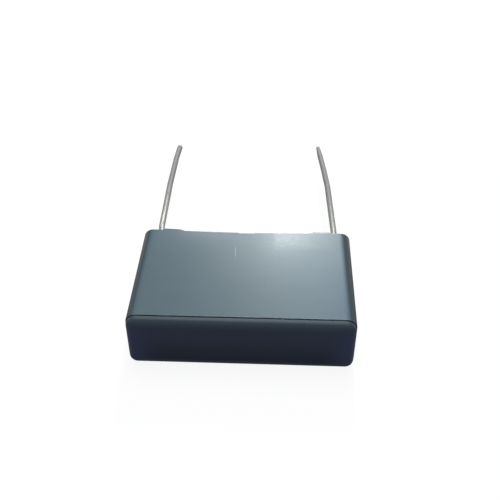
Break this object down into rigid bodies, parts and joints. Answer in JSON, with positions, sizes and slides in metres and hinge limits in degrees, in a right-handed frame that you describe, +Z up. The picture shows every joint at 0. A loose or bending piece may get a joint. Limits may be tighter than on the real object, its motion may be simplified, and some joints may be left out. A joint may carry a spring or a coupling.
{
  "type": "box film capacitor",
  "caption": "Box film capacitor lying on its wide side, with a rounded moulded case filled with resin and two long wire leads from its open end.",
  "frame": {"origin": "middle of the wide wall that the capacitor lies on, at the level of that wall's flat surface", "axes": "+X along the case from the left lead to the right lead, +Y from the closed end to the open end and the lead tips, +Z up through the case's thickness"},
  "size_m": [0.026, 0.0427, 0.007],
  "materials": {
    "case_plastic": "satin",
    "potting_resin": "gloss",
    "film_winding": "satin",
    "sprayed_metal": "matte",
    "tinned_wire": "satin",
    "solder": "satin"
  },
  "bodies": {
    "root": {"case": "case_plastic", "potting": "potting_resin", "winding": "film_winding", "end_spray_left": "sprayed_metal", "end_spray_right": "sprayed_metal", "lead_left": "tinned_wire", "lead_right": "tinned_wire", "solder_joint_left": "solder", "solder_joint_right": "solder"}
  },
  "joints": []
}
